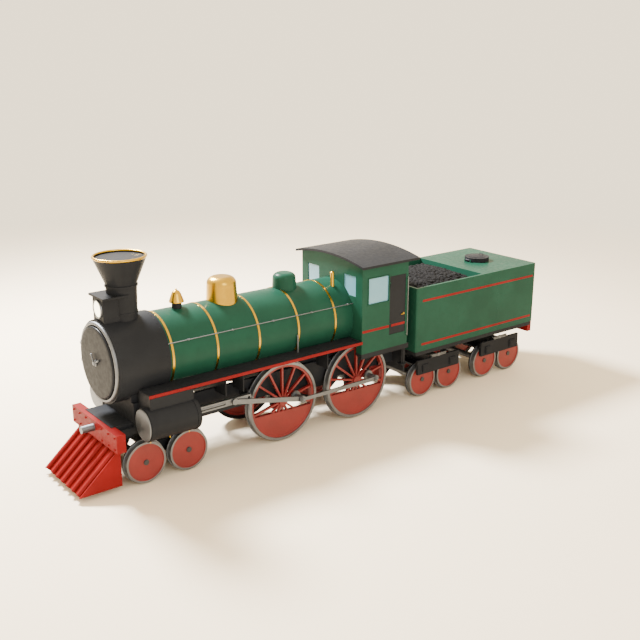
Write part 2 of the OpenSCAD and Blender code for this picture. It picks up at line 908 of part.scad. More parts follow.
module counterweight_outline() {
    inner = driver_r - tyre_t - rim_w / 2;
    intersection() {
        circle(r = inner);
        rotate(counterweight_tilt) translate([-inner, -inner - counterweight_drop])
            square([2 * inner, inner]);
    }
}

module driving_wheel() {
    y_extrude(tyre_in_y + 10, tyre_out_y - 20) rim_outline();
    y_extrude(tyre_in_y + 45, tyre_out_y - 35) spoke_outline();
    y_extrude(tyre_in_y + 30, tyre_out_y - 26) counterweight_outline();
    y_cylinder(tyre_in_y, tyre_out_y, hub_r);
    translate([crank_dx, 0, crank_dz]) y_cylinder(tyre_in_y + 60, tyre_out_y, crank_boss_r - 20);
}

module driving_wheels(x) {
    color(red) placed() translate([x, 0, driver_r]) {
        y_cylinder(-tyre_in_y - over, tyre_in_y + over, driver_axle_r);
        both_sides() driving_wheel();
    }
}

module driving_wheels_1() {
    driving_wheels(driver_x[0]);
}

module driving_wheels_2() {
    driving_wheels(driver_x[1]);
}

module crank_pins(x) {
    color(steel) placed() both_sides() translate([x + crank_dx, 0, driver_r + crank_dz]) {
        y_cylinder(tyre_out_y, tyre_out_y + crank_boss_t, crank_boss_r);
        y_cylinder(tyre_out_y, main_rod_y - rod_gap, crank_pin_r + 14);
        y_cylinder(tyre_out_y, crank_pin_end + 4, crank_pin_r);
        y_cylinder(crank_pin_end + 4, crank_pin_end + 4 + pin_cap_t, crank_pin_r + 12);
    }
}

module crank_pins_1() {
    crank_pins(driver_x[0]);
}

module crank_pins_2() {
    crank_pins(driver_x[1]);
}

module small_wheelset(x, r) {
    color(red) placed() translate([x, 0, r]) {
        y_cylinder(-tyre_in_y - over, tyre_in_y + over, small_axle_r);
        both_sides() {
            tyre(r);
            y_cylinder(tyre_in_y + 30, tyre_out_y - 14, r - tyre_t + over);
            y_cylinder(tyre_in_y, tyre_out_y + 6, 52);
            y_cylinder(tyre_in_y, tyre_in_y + 40, 120);
        }
    }
}

module leading_wheelset_1() {
    small_wheelset(leading_x + leading_spacing / 2, leading_r);
}

module leading_wheelset_2() {
    small_wheelset(leading_x - leading_spacing / 2, leading_r);
}

module tender_wheelset(bogie, side) {
    small_wheelset(tender_bogie_x[bogie] + side * tender_axle_spacing / 2, tender_wheel_r);
}

module tender_wheelset_1() {
    tender_wheelset(0, 1);
}

module tender_wheelset_2() {
    tender_wheelset(0, -1);
}

module tender_wheelset_3() {
    tender_wheelset(1, 1);
}

module tender_wheelset_4() {
    tender_wheelset(1, -1);
}

// Bogies

// Inner plates and centre of a bogie: spacing of its axles, wheel radius, height of its seat
module bogie_core(spacing, r, seat_z) {
    top = r + 250;
    both_sides() y_extrude(bogie_plate_y1, bogie_plate_y2) difference() {
        polygon([
            [-spacing / 2 - 150, r - 110], [-spacing / 2 + 150, r - 110],
            [-spacing / 2 + 200, r], [spacing / 2 - 200, r],
            [spacing / 2 - 150, r - 110], [spacing / 2 + 150, r - 110],
            [spacing / 2 + 150, r + 130], [spacing / 2 - 60, top],
            [-spacing / 2 + 60, top], [-spacing / 2 - 150, r + 130]
        ]);
        for (s = [-1, 1]) translate([s * spacing / 2, r]) circle(r = small_axle_r + running_gap);
    }
    box(-spacing / 2 + 60, spacing / 2 - 60, -bogie_plate_y1 - over, bogie_plate_y1 + over, top - 50, top);
    translate([0, 0, top - over]) cylinder(h = seat_z - seat_gap - top + over, r = bogie_centre_r);
    translate([0, 0, top]) cylinder(h = seat_z - top + 130, r = bogie_pin_r);
}

module leading_bogie_frame() {
    color(black) placed() translate([leading_x, 0, 0])
        bogie_core(leading_spacing, leading_r, saddle_bottom);
}

bogie_bar_y = tyre_out_y + 20;
bogie_bar_t = 60;
bogie_bar_z1 = 570;
bogie_bar_z2 = 915;
bogie_bar_l = 1340;
bolster_x = 120;
bolster_z = 735;

module tender_bogie(i) {
    color(black) placed() translate([tender_bogie_x[i], 0, 0]) {
        bogie_core(tender_axle_spacing, tender_wheel_r, tender_frame_bottom);
        box(-bolster_x, bolster_x, -bogie_bar_y - over, bogie_bar_y + over, bolster_z, bogie_bar_z2 - 20);
        box(-bolster_x, bolster_x, -bogie_plate_y1, bogie_plate_y1, tender_wheel_r + 200, bolster_z + over);
        both_sides() box(-bogie_bar_l / 2, bogie_bar_l / 2, bogie_bar_y, bogie_bar_y + bogie_bar_t,
            bogie_bar_z1, bogie_bar_z2);
    }
}

module tender_bogie_1() {
    tender_bogie(0);
}

module tender_bogie_2() {
    tender_bogie(1);
}

// Cab

module roof_arc(r, y) {
    intersection() {
        translate([0, roof_centre_z]) circle(r = r, $fn = 360);
        translate([-y, roof_foot_z]) square([2 * y, roof_centre_z + r + over - roof_foot_z]);
    }
}

module cab_front() {
    color(green) placed() x_extrude(cab_front_x - cab_t, cab_front_x) difference() {
        union() {
            translate([-cab_y, cab_z]) square([2 * cab_y, roof_foot_z - cab_z + over]);
            roof_arc(roof_r - seat_gap, cab_y);
        }
        for (s = [-1, 1]) {
            front_window_outline(s, 0);
            translate([s * (splasher_y1 + splasher_y2) / 2 - (splasher_y2 - splasher_y1) / 2, cab_z - over])
                square([splasher_y2 - splasher_y1, splasher_top - cab_z + over]);
        }
    }
}

// A front window, with its inner lower corner cut away round the boiler
module front_window_outline(s, inset) {
    difference() {
        translate([s > 0 ? front_window_y[0] + inset : -front_window_y[1] + inset, front_window_z[0] + inset])
            square([front_window_y[1] - front_window_y[0] - 2 * inset,
                front_window_z[1] - front_window_z[0] - 2 * inset]);
        translate([0, boiler_z]) circle(r = boiler_r + front_window_gap + inset);
    }
}

module side_window_outline(inset) {
    translate([side_window_x[0] + inset, side_window_z[0] + inset])
        square([side_window_x[1] - side_window_x[0] - 2 * inset,
            side_window_z[1] - side_window_z[0] - 2 * inset]);
}

side_hinge_z = [side_door_z + 200, side_door_z + door_h - 200];

module cab_sides() {
    color(green) placed() both_sides() {
        y_extrude(cab_y - cab_t, cab_y) difference() {
            translate([cab_rear_x, cab_z]) square([cab_l - cab_t, cab_h]);
            side_window_outline(0);
            translate([side_door_x - door_w, side_door_z]) square([door_w, door_h]);
        }
        for (z = side_hinge_z) {
            box(side_hinge_x - side_hinge_r, side_door_x + over, side_hinge_y - side_hinge_r,
                side_hinge_y + side_hinge_r, z + 44, z + 68);
            translate([side_hinge_x, side_hinge_y, z - 40]) cylinder(h = 90, r = side_hinge_r);
        }
    }
}

module cab_door(left) {
    color(black) placed() one_side(left) difference() {
        union() {
            box(side_door_x - door_w + door_gap, side_door_x - door_gap, cab_y - cab_t, cab_y - 4,
                side_door_z + door_gap, side_door_z + door_h - door_gap);
            for (z = side_hinge_z)
                translate([side_hinge_x, side_hinge_y, z - 40]) cylinder(h = 80, r = side_knuckle_r);
        }
        for (z = side_hinge_z) {
            translate([side_hinge_x, side_hinge_y, z - 41])
                cylinder(h = 82, r = side_hinge_r + running_gap);
            box(side_hinge_x - 20, side_door_x, cab_y - cab_t - over, cab_y, z + 40, z + 73);
        }
    }
}

module cab_door_left() {
    cab_door(true);
}

module cab_door_right() {
    cab_door(false);
}

module cab_roof() {
    color(black) placed() x_extrude(cab_rear_x - 205, cab_front_x + 90) difference() {
        roof_arc(roof_r + roof_t, roof_y);
        translate([0, roof_centre_z]) circle(r = roof_r, $fn = 360);
    }
}

module floor_skirts() {
    both_sides() box(floor_rear_x, cab_front_x, cab_y - skirt_t, cab_y,
        cab_z - floor_skirt, cab_z - floor_t + over);
}

module cab_floor() {
    color(black) placed() difference() {
        union() {
            box(floor_rear_x, cab_front_x, -cab_y, cab_y, cab_z - floor_t, cab_z);
            both_sides() box(splasher_x, cab_front_x - cab_t, splasher_y1, splasher_y2,
                cab_z - over, splasher_top + splasher_t);
            floor_skirts();
        }
        both_sides() box(splasher_x + splasher_t, cab_front_x + over,
            splasher_y1 + splasher_t, splasher_y2 - splasher_t, cab_z - floor_t - over, splasher_top);
    }
}

module cab_windows() {
    color(glass) placed() {
        x_extrude(cab_front_x - cab_t / 2 - pane_t / 2, cab_front_x - cab_t / 2 + pane_t / 2)
            for (s = [-1, 1]) front_window_outline(s, seat_gap);
        both_sides() y_extrude(cab_y - cab_t / 2 - pane_t / 2, cab_y - cab_t / 2 + pane_t / 2)
            side_window_outline(seat_gap);
    }
}

module backhead() {
    color(black) placed() difference() {
        translate([0, 0, boiler_z])
            x_cylinder(cab_front_x - cab_t - backhead_l, cab_front_x - cab_t, backhead_r);
        box(cab_rear_x, cab_front_x, -cab_y, cab_y, 0, cab_z);
    }
}

// Tender

module tender_frame() {
    color(black) placed() {
        difference() {
            box(tank_rear_x, tank_front_x, -frame_y2, frame_y2, tender_frame_bottom, tank_bottom);
            for (x = tender_bogie_x) translate([x, 0, tender_frame_bottom - over])
                cylinder(h = 140 + over, r = bogie_pin_r + running_gap);
        }
        both_sides() box(tank_rear_x + tank_corner_r, tank_front_x - tank_corner_r,
            frame_y2 - over, tank_y - 24, tank_bottom - sill_h, tank_bottom);
        difference() {
            union() {
                box(tank_front_x - over, drag_x, -60, 60, drag_z1 + drag_t + 20, drag_z2 - drag_t - 20);
                translate([drag_x, 0, drag_z1 + drag_t + 20])
                    cylinder(h = drag_z2 - drag_z1 - 2 * drag_t - 40, r = 85);
            }
            translate([drag_x, 0, drag_z1]) cylinder(h = 200, r = drag_pin_r + running_gap);
        }
    }
}

module tank_block() {
    c = tank_corner_r;
    box(tank_rear_x, tank_front_x, c - tank_y, tank_y - c, tank_bottom, tank_top);
    box(tank_rear_x + c, tank_front_x - c, -tank_y, tank_y, tank_bottom, tank_top);
    for (x = [tank_rear_x + c, tank_front_x - c]) both_sides()
        translate([x, tank_y - c, tank_bottom]) cylinder(h = tank_h, r = c);
}

module tender_tank() {
    color(green) placed() {
        difference() {
            tank_block();
            box(coal_rear_x, tank_front_x - tank_t, tank_t - tank_y, tank_y - tank_t,
                coal_floor, tank_top + over);
        }
        translate([filler_x, 0, tank_top - over]) difference() {
            cylinder(h = filler_neck_h + over, r = filler_r);
            translate([0, 0, over]) cylinder(h = filler_neck_h + over, r = filler_r - 24);
        }
        for (s = [-1, 1]) box(lid_hinge_x - 12, lid_hinge_x + 12, s * 90 - 12, s * 90 + 12,
            tank_top - over, lid_hinge_z + 12);
        translate([lid_hinge_x, 0, lid_hinge_z]) y_cylinder(-102, 102, lid_pin_r);
    }
}

// The heap falls away towards the walls on both sides and towards the rear
module coal_heap() {
    half_y = tank_y - tank_t - coal_gap;
    front_x = tank_front_x - tank_t - 1;
    color(black) placed() intersection() {
        x_extrude(coal_rear_x, tank_front_x) polygon([
            [-half_y, coal_floor], [half_y, coal_floor], [half_y, coal_edge],
            [coal_crown_y, coal_top - 50], [0, coal_top], [-coal_crown_y, coal_top - 50], [-half_y, coal_edge]
        ]);
        y_extrude(-tank_y, tank_y) polygon([
            [coal_rear_x + coal_gap, coal_floor], [front_x, coal_floor], [front_x, coal_top + over],
            [coal_rear_x + 420, coal_top + over], [coal_rear_x + coal_gap, coal_edge]
        ]);
    }
}

module tender_beam() {
    color(red) placed() box(tank_rear_x - tender_beam_t, tank_rear_x, -beam_y, beam_y,
        tender_beam_z1, tender_beam_z2);
}

module rear_drawbar() {
    color(steel) placed() translate([tank_rear_x - tender_beam_t, 0, rear_drawbar_z])
        mirror([1, 0, 0]) drawbar_stub();
}

// The lid is a cap over the filler's neck
module filler_lid() {
    color(black) placed() difference() {
        union() {
            translate([filler_x, 0, tank_top + 4]) difference() {
                cylinder(h = lid_h, r = lid_r);
                translate([0, 0, -over]) cylinder(h = lid_h - lid_t + over, r = lid_r - lid_skirt_t);
            }
            box(filler_x + lid_r - 12, lid_hinge_x, -70, 70, lid_hinge_z - 12, lid_hinge_z + 12);
            translate([lid_hinge_x, 0, lid_hinge_z]) y_cylinder(-70, 70, 20);
        }
        translate([lid_hinge_x, 0, lid_hinge_z]) y_cylinder(-71, 71, lid_pin_r + running_gap);
    }
}

main_frame();
front_deck();
buffer_beam();
front_drawbar();
pilot();
boiler();
boiler_bands();
smokebox();
smokebox_ring();
smokebox_door();
chimney();
chimney_rim();
headlamp();
headlamp_lens();
bell_stand();
bell();
steam_dome();
sand_dome();
whistle();
handrails();
running_boards();
running_board_edges();
cylinders();
cylinder_covers();
slide_bars();
cab_front();
cab_sides();
cab_roof();
cab_floor();
cab_windows();
backhead();
cab_door_left();
cab_door_right();
leading_bogie_frame();
leading_wheelset_1();
leading_wheelset_2();
driving_wheels_1();
driving_tyres_1();
crank_pins_1();
driving_wheels_2();
driving_tyres_2();
crank_pins_2();
coupling_rod_left();
coupling_rod_right();
main_rod_left();
main_rod_right();
crosshead_left();
crosshead_right();
tender_frame();
tender_tank();
coal_heap();
tender_beam();
rear_drawbar();
filler_lid();
tender_bogie_1();
tender_bogie_2();
tender_wheelset_1();
tender_wheelset_2();
tender_wheelset_3();
tender_wheelset_4();
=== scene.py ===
"""Looks of a steam locomotive with its tender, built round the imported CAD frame."""

import json
import math
import random

import bmesh
import bpy
from mathutils import Matrix, Vector


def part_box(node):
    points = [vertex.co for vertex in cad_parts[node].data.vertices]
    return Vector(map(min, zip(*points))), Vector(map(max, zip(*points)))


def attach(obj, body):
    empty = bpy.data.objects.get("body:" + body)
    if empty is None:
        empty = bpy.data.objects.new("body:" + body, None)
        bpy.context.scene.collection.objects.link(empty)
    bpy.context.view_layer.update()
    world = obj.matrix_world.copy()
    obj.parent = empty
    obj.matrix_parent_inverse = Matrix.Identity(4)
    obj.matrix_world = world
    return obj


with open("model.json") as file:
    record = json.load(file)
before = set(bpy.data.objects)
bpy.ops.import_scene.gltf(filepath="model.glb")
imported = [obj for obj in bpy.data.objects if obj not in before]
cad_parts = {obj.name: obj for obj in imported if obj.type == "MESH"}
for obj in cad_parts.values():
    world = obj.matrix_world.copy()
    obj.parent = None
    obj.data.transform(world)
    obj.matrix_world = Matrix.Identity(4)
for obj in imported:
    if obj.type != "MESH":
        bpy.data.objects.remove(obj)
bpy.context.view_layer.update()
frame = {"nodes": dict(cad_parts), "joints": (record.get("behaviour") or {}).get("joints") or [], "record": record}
record = frame["record"]

RANDOM_SEED = 7
BACK_TO_BACK = 1.36
FLANGE_W = 0.032
random.seed(RANDOM_SEED)
JOINTS = {j["name"]: Vector(j["pos_m"]) for j in frame["joints"] if "pos_m" in j}
MOUNTS = {m["name"]: Vector(m["pos_m"]) for m in record["mounts"]}
RAIL = MOUNTS["rail_running"]


def at(x, y, z):
    """A point given from the leading driving axle, the centre line and the rail head."""
    return RAIL + Vector((x, y, z))


# ---------------------------------------------------------------- materials


class Nodes:
    """Short calls for building a material's node tree."""

    def __init__(self, name):
        self.material = bpy.data.materials.new(name)
        self.material.use_nodes = True
        self.tree = self.material.node_tree
        self.shader = self.tree.nodes["Principled BSDF"]
        self.coords = self.add("ShaderNodeTexCoord").outputs["Object"]

    def add(self, kind, **values):
        node = self.tree.nodes.new(kind)
        for key, value in values.items():
            if hasattr(node, key):
                setattr(node, key, value)
            else:
                node.inputs[key.replace("_", " ")].default_value = value
        return node

    def link(self, out, to):
        self.tree.links.new(out, to)

    def noise(self, scale, detail=3.0, stretch=None, rough=0.5):
        source = self.coords
        if stretch:
            mapping = self.add("ShaderNodeMapping")
            mapping.inputs["Scale"].default_value = stretch
            self.link(source, mapping.inputs["Vector"])
            source = mapping.outputs["Vector"]
        node = self.add("ShaderNodeTexNoise", Scale=scale, Detail=detail, Roughness=rough)
        self.link(source, node.inputs["Vector"])
        return node.outputs["Fac"]

    def spread(self, value, low, high, start=0.35, end=0.65):
        node = self.add("ShaderNodeMapRange")
        for key, number in (("From Min", start), ("From Max", end), ("To Min", low), ("To Max", high)):
            node.inputs[key].default_value = number
        self.link(value, node.inputs["Value"])
        return node.outputs["Result"]

    def maths(self, operation, a, b=None):
        node = self.add("ShaderNodeMath", operation=operation)
        for slot, value in enumerate((a, b)):
            if value is None:
                continue
            if isinstance(value, (int, float)):
                node.inputs[slot].default_value = value
            else:
                self.link(value, node.inputs[slot])
        return node.outputs[0]

    def mix(self, factor, a, b):
        node = self.add("ShaderNodeMix", data_type="RGBA")
        self.link(factor, node.inputs["Factor"])
        for socket, value in ((node.inputs[6], a), (node.inputs[7], b)):
            if isinstance(value, tuple):
                socket.default_value = (*value, 1.0)
            else:
                self.link(value, socket)
        return node.outputs[2]

    def edges(self, radius):
        """One on sharp edges and nothing on flat faces."""
        bevel = self.add("ShaderNodeBevel", samples=4)
        bevel.inputs["Radius"].default_value = radius
        geometry = self.add("ShaderNodeNewGeometry")
        dot = self.add("ShaderNodeVectorMath", operation="DOT_PRODUCT")
        self.link(bevel.outputs["Normal"], dot.inputs[0])
        self.link(geometry.outputs["Normal"], dot.inputs[1])
        return self.spread(dot.outputs["Value"], 1.0, 0.0, 0.80, 0.985)

    def bump(self, height, strength, distance, rounding=None):
        node = self.add("ShaderNodeBump")
        node.inputs["Strength"].default_value = strength
        node.inputs["Distance"].default_value = distance
        self.link(height, node.inputs["Height"])
        if rounding:
            bevel = self.add("ShaderNodeBevel", samples=4)
            bevel.inputs["Radius"].default_value = rounding
            self.link(bevel.outputs["Normal"], node.inputs["Normal"])
        self.link(node.outputs["Normal"], self.shader.inputs["Normal"])

    def colour(self, out):
        self.link(out, self.shader.inputs["Base Color"])

    def roughness(self, out):
        self.link(out, self.shader.inputs["Roughness"])


def shade(colour, factor):
    return tuple(channel * factor for channel in colour)


def painted(name, colour, rough=0.42, worn=None, coat=0.15, edge=0.006):
    """Brushed coach paint: broad colour drift, fine orange peel and rubbed edges."""
    n = Nodes(name)
    broad = n.spread(n.noise(1.3, 4.0), 0.0, 1.0)
    tone = n.mix(broad, shade(colour, 0.90), shade(colour, 1.12))
    grime = n.spread(n.noise(9.0, 6.0, rough=0.65), 0.0, 0.35, 0.52, 0.75)
    tone = n.mix(grime, tone, shade(colour, 0.78))
    rubbed = n.maths("MULTIPLY", n.edges(edge), n.spread(n.noise(22.0, 5.0), 0.15, 0.75))
    n.colour(n.mix(rubbed, tone, worn or shade(colour, 1.7)))
    n.roughness(n.spread(n.noise(14.0, 5.0), rough - 0.06, rough + 0.09))
    n.bump(n.noise(190.0, 2.0), 0.10, 0.0015, rounding=edge)
    n.shader.inputs["Specular IOR Level"].default_value = 0.03
    n.shader.inputs["Coat Weight"].default_value = coat * 0.4
    n.shader.inputs["Coat Roughness"].default_value = 0.25
    return n.material


def polished(name, colour, rough=0.22, stretch=None, dull=0.75):
    """Metal with fine rubbing marks, finger-dull patches and a slight unevenness."""
    n = Nodes(name)
    tarnish = n.spread(n.noise(5.0, 6.0, rough=0.6), 0.0, 0.8, 0.40, 0.80)
    tone = n.mix(tarnish, colour, shade(colour, dull))
    n.colour(n.mix(n.maths("MULTIPLY", n.edges(0.004), 0.5), tone, shade(colour, 1.15)))
    marks = n.noise(60.0, 4.0, stretch=stretch or (1.0, 9.0, 9.0))
    n.roughness(n.spread(marks, rough - 0.06, rough + 0.12))
    n.bump(marks, 0.12, 0.0008, rounding=0.004)
    n.shader.inputs["Metallic"].default_value = 1.0
    return n.material


BLACK = (0.0140, 0.0155, 0.0190)
GREEN = (0.0095, 0.0490, 0.0320)
RED = (0.165, 0.0085, 0.0095)
BRASS = (0.50, 0.30, 0.026)
STEEL = (0.165, 0.176, 0.195)
DARK_STEEL = (0.060, 0.061, 0.064)
WOOD = (0.075, 0.036, 0.016)


def axle_material(name, centre, radii):
    """Wheel finish by radius: dark hub, red disc and bright tyre face, with painted shade: the inner part of the
    tread, the flange and the inner wheel faces are near-black so they read as shadow.
    """
    hub_r, disc_r = radii
    face_y = BACK_TO_BACK / 2 + FLANGE_W
    n = Nodes(name)
    split = n.add("ShaderNodeSeparateXYZ")
    n.link(n.coords, split.inputs[0])
    dx = n.maths("SUBTRACT", split.outputs["X"], centre.x)
    dz = n.maths("SUBTRACT", split.outputs["Z"], centre.z)
    squares = n.maths("ADD", n.maths("MULTIPLY", dx, dx), n.maths("MULTIPLY", dz, dz))
    radius = n.maths("SQRT", squares)
    across = n.maths("ABSOLUTE", split.outputs["Y"])
    tyre = n.maths("GREATER_THAN", radius, disc_r)
    hub = n.maths("LESS_THAN", radius, hub_r)
    # Painted shade: the flange and the inner faces of the wheels are coloured near-black so they read as shadow.
    shaded_flange = n.maths("MULTIPLY", tyre, n.maths("LESS_THAN", across, face_y))
    inside = n.maths("LESS_THAN", across, BACK_TO_BACK / 2 + 0.002)
    # dull joins the hub's own dark colour with the painted shade on the flange and the inner faces.
    dull = n.maths("MAXIMUM", hub, n.maths("MAXIMUM", shaded_flange, inside))
    drift = n.spread(n.noise(3.0, 5.0), 0.0, 1.0)
    red = n.mix(drift, shade(RED, 0.88), shade(RED, 1.10))
    dark = n.mix(drift, shade(BLACK, 0.8), shade(BLACK, 1.5))
    steel = n.mix(drift, shade(STEEL, 0.90), shade(STEEL, 1.10))
    n.colour(n.mix(dull, n.mix(tyre, red, steel), dark))
    n.link(n.maths("MULTIPLY", tyre, 0.85), n.shader.inputs["Metallic"])
    n.roughness(n.spread(n.noise(30.0, 5.0), 0.36, 0.52))
    n.bump(n.noise(150.0, 2.0), 0.10, 0.0012, rounding=0.005)
    return n.material


def glass_material():
    n = Nodes("window_glass")
    drift = n.spread(n.noise(2.0, 3.0), 0.0, 1.0)
    n.colour(n.mix(drift, (0.130, 0.325, 0.440), (0.160, 0.370, 0.490)))
    n.roughness(n.spread(n.noise(25.0, 4.0), 0.05, 0.14))
    n.bump(n.noise(4.0, 1.0), 0.05, 0.002)
    n.shader.inputs["Transmission Weight"].default_value = 0.15
    n.shader.inputs["IOR"].default_value = 1.5
    return n.material


def lamp_material():
    n = Nodes("lamp_glass")
    rings = n.add("ShaderNodeTexWave", wave_type="RINGS")
    rings.inputs["Scale"].default_value = 9.0
    n.link(n.coords, rings.inputs["Vector"])
    glow = n.mix(rings.outputs["Fac"], (1.0, 0.86, 0.52), (1.0, 0.95, 0.78))
    n.colour(glow)
    n.link(glow, n.shader.inputs["Emission Color"])
    n.shader.inputs["Emission Strength"].default_value = 6.0
    n.roughness(n.spread(n.noise(20.0), 0.08, 0.16))
    n.bump(rings.outputs["Fac"], 0.3, 0.003)
    return n.material


def coal_material():
    n = Nodes("coal")
    drift = n.spread(n.noise(16.0, 6.0, rough=0.7), 0.0, 1.0)
    n.colour(n.mix(drift, (0.0060, 0.0062, 0.0070), (0.0110, 0.0110, 0.0120)))
    n.roughness(n.spread(n.noise(40.0, 4.0), 0.75, 0.95))
    n.shader.inputs["Specular IOR Level"].default_value = 0.10
    n.bump(n.noise(60.0, 6.0), 0.5, 0.006)
    return n.material


MAT = {
    "black": painted("black_paint", BLACK, 0.45, worn=(0.020, 0.021, 0.024)),
    "green": painted("green_paint", GREEN, 0.38, coat=0.25),
    "red": painted("red_paint", RED, 0.42, worn=(0.32, 0.030, 0.026)),
    "brass": polished("brass", BRASS, 0.24),
    "steel": polished("bright_steel", STEEL, 0.46),
    "dark": polished("oiled_steel", DARK_STEEL, 0.42),
    "wood": painted("cab_wood", WOOD, 0.50, worn=(0.13, 0.065, 0.03)),
}
MAT["glass"] = glass_material()
MAT["lamp"] = lamp_material()
MAT["coal"] = coal_material()
SLOT = {
    "black": "black_paint",
    "green": "green_paint",
    "red": "red_paint",
    "brass": "brass",
    "steel": "bright_steel",
    "glass": "window_glass",
    "lamp": "lamp_glass",
    "coal": "coal",
}
FINISH = {slot: key for key, slot in SLOT.items()}
SLOT["dark"] = "bright_steel"
SLOT["wood"] = "black_paint"


def dress(node, material):
    slots = frame["nodes"][node].material_slots
    for one in slots:
        one.material = material


for part in record["subparts"]:
    dress(part["node"], MAT[FINISH[part["material_slot"]]])

TYRE_FACE = 0.040
FLANGE_H = RAIL.z


def wheel_paint(name, tyre_face, hub_r):
    low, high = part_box(name)
    centre = (low + high) / 2
    tread = (high.z - low.z) / 2 - FLANGE_H
    dress(name, axle_material(name + "_paint", centre, (hub_r, tread - tyre_face)))


for name in frame["nodes"]:
    if "wheelset" in name:
        wheel_paint(name, TYRE_FACE, 0.056)
    if "driving_tyres" in name:
        wheel_paint(name, 0.2, 0.01)
# Spoked wheels: red all over, with painted shade on their inner faces.
for i in (1, 2):
    low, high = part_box("driving_wheels_%d" % i)
    centre = JOINTS["driving_axle_%d_spin" % i]
    dress("driving_wheels_%d" % i, axle_material("spokes_%d_paint" % i, centre, (0.001, 2.0)))
for name in ("crosshead_left", "crosshead_right", "slide_bars"):
    dress(name, MAT["steel"])

# ---------------------------------------------------------------- building pieces


def block(bm, low, high):
    middle = (low + high) / 2
    size = high - low
    scale = Matrix.Diagonal((abs(size.x), abs(size.y), abs(size.z), 1.0))
    bmesh.ops.create_cube(bm, size=1.0, matrix=Matrix.Translation(middle) @ scale)


def basis(axis):
    axis = Vector(axis).normalized()
    side = Vector((0.0, 0.0, 1.0)) if abs(axis.z) < 0.9 else Vector((1.0, 0.0, 0.0))
    first = axis.cross(side).normalized()
    return axis, first, axis.cross(first)


def ring(bm, centre, first, second, radius, count):
    turns = [2 * math.pi * i / count for i in range(count)]
    return [bm.verts.new(centre + radius * (first * math.cos(t) + second * math.sin(t))) for t in turns]


def bridge(bm, a, b):
    count = len(a)
    for i in range(count):
        bm.faces.new((a[i], a[(i + 1) % count], b[(i + 1) % count], b[i]))


def lathe(bm, origin, axis, profile, count=24):
    """A closed turned shape. The profile is a list of (radius, distance along the axis)."""
    axis, first, second = basis(axis)
    rings = [ring(bm, origin + axis * along, first, second, radius, count) for radius, along in profile]
    for a, b in zip(rings, rings[1:]):
        bridge(bm, a, b)
    bm.faces.new(rings[0])
    bm.faces.new(rings[-1])


def hoop(bm, origin, axis, profile, count=48):
    """A closed ring: the profile is a closed outline of (radius, distance along the axis)."""
    axis, first, second = basis(axis)
    rings = [ring(bm, origin + axis * along, first, second, radius, count) for radius, along in profile]
    for a, b in zip(rings, rings[1:] + rings[:1]):
        bridge(bm, a, b)


def tube(bm, points, radius, count=12):
    """A bar bent through some points, closed at both ends."""
    rings = []
    for i, point in enumerate(points):
        ahead = points[min(i + 1, len(points) - 1)] - points[max(i - 1, 0)]
        axis, first, second = basis(ahead)
        rings.append(ring(bm, point, first, second, radius, count))
    for a, b in zip(rings, rings[1:]):
        bridge(bm, a, b)
    bm.faces.new(rings[0])
    bm.faces.new(rings[-1])


def rivet(bm, place, axis, radius=0.011):
    shoulder = (radius * 0.8, radius * 0.35)
    crown = (radius * 0.35, radius * 0.55)
    profile = ((radius, -0.004), (radius, 0.001), shoulder, crown)
    lathe(bm, place, axis, profile, 8)


def nut(bm, place, axis, radius, height):
    profile = ((radius, -0.002), (radius, height * 0.8), (radius * 0.82, height))
    lathe(bm, place, axis, profile, 6)
    stud = ((radius * 0.5, height * 0.9), (radius * 0.5, height * 1.35), (radius * 0.38, height * 1.5))
    lathe(bm, place, axis, stud, 10)


def row(bm, start, end, step, axis, radius=0.011, make=rivet):
    length = (end - start).length
    count = max(1, round(length / step))
    for i in range(count + 1):
        make(bm, start.lerp(end, i / count), axis, radius)


def piece(name, build, finish, body, bevel=0.0, sharp=35.0):
    mesh = bpy.data.meshes.new(name)
    bm = bmesh.new()
    build(bm)
    bmesh.ops.recalc_face_normals(bm, faces=bm.faces)
    bm.to_mesh(mesh)
    bm.free()
    for face in mesh.polygons:
        face.use_smooth = True
    mesh.set_sharp_from_angle(angle=math.radians(sharp))
    mesh.materials.append(MAT[finish])
    obj = bpy.data.objects.new(name, mesh)
    bpy.context.scene.collection.objects.link(obj)
    if bevel:
        rounding = obj.modifiers.new("rounding", "BEVEL")
        rounding.width = bevel
        rounding.segments = 2
        rounding.limit_method = "ANGLE"
    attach(obj, body)
    return obj


X = Vector((1.0, 0.0, 0.0))
Y = Vector((0.0, 1.0, 0.0))
Z = Vector((0.0, 0.0, 1.0))
SIDES = (("left", 1), ("right", -1))
BOILER_Z = 2.25
SMOKEBOX_R = 0.795
CHIMNEY_X = 3.044
CYLINDER_Y = 0.985
CYLINDER_Z = 1.235
CYLINDER_REAR_X = 2.200
TANK_REAR_X = -7.455
BACKHEAD_X = -2.200
SEAT_FLOOR_Z = 1.51
SEAT_Z = 1.98
RIVET_STEP = 0.075
SMALL_RIVET_R = 0.008

# ---------------------------------------------------------------- cab and tender trim


def side_panel(name, side, low, high, face, finish, body, proud=0.003):
    """A thin strip on a side face, between two (x, z) corners."""

    def build(bm):
        inner = at(low[0], side * (face - 0.0015), low[1])
        outer = at(high[0], side * (face + proud), high[1])
        block(bm, inner, outer)

    return piece(name, build, finish, body, bevel=0.001)


def window_frame(name, side, x_range, z_range, face):
    """A raised frame of four bars round a window."""
    wide, proud = 0.022, 0.012

    def build(bm):
        x0, x1 = x_range
        z0, z1 = z_range
        bars = (
            (x0 - wide, x1 + wide, z0 - wide, z0),
            (x0 - wide, x1 + wide, z1, z1 + wide),
            (x0 - wide, x0, z0, z1),
            (x1, x1 + wide, z0, z1),
        )
        for ax, bx, az, bz in bars:
            block(bm, at(ax, side * (face - 0.002), az), at(bx, side * (face + proud), bz))

    return piece(name, build, "green", "engine", bevel=0.003)


CAB_Y = 1.044
DOOR_Y = 1.040
TANK_Y = 1.094
STRIPE_H = 0.055
STRIPE_Z = 2.00
TANK_STRIPE_X = -7.36
TANK_STRIPE_END_X = -3.62
TANK_STRIPE_H = 0.05

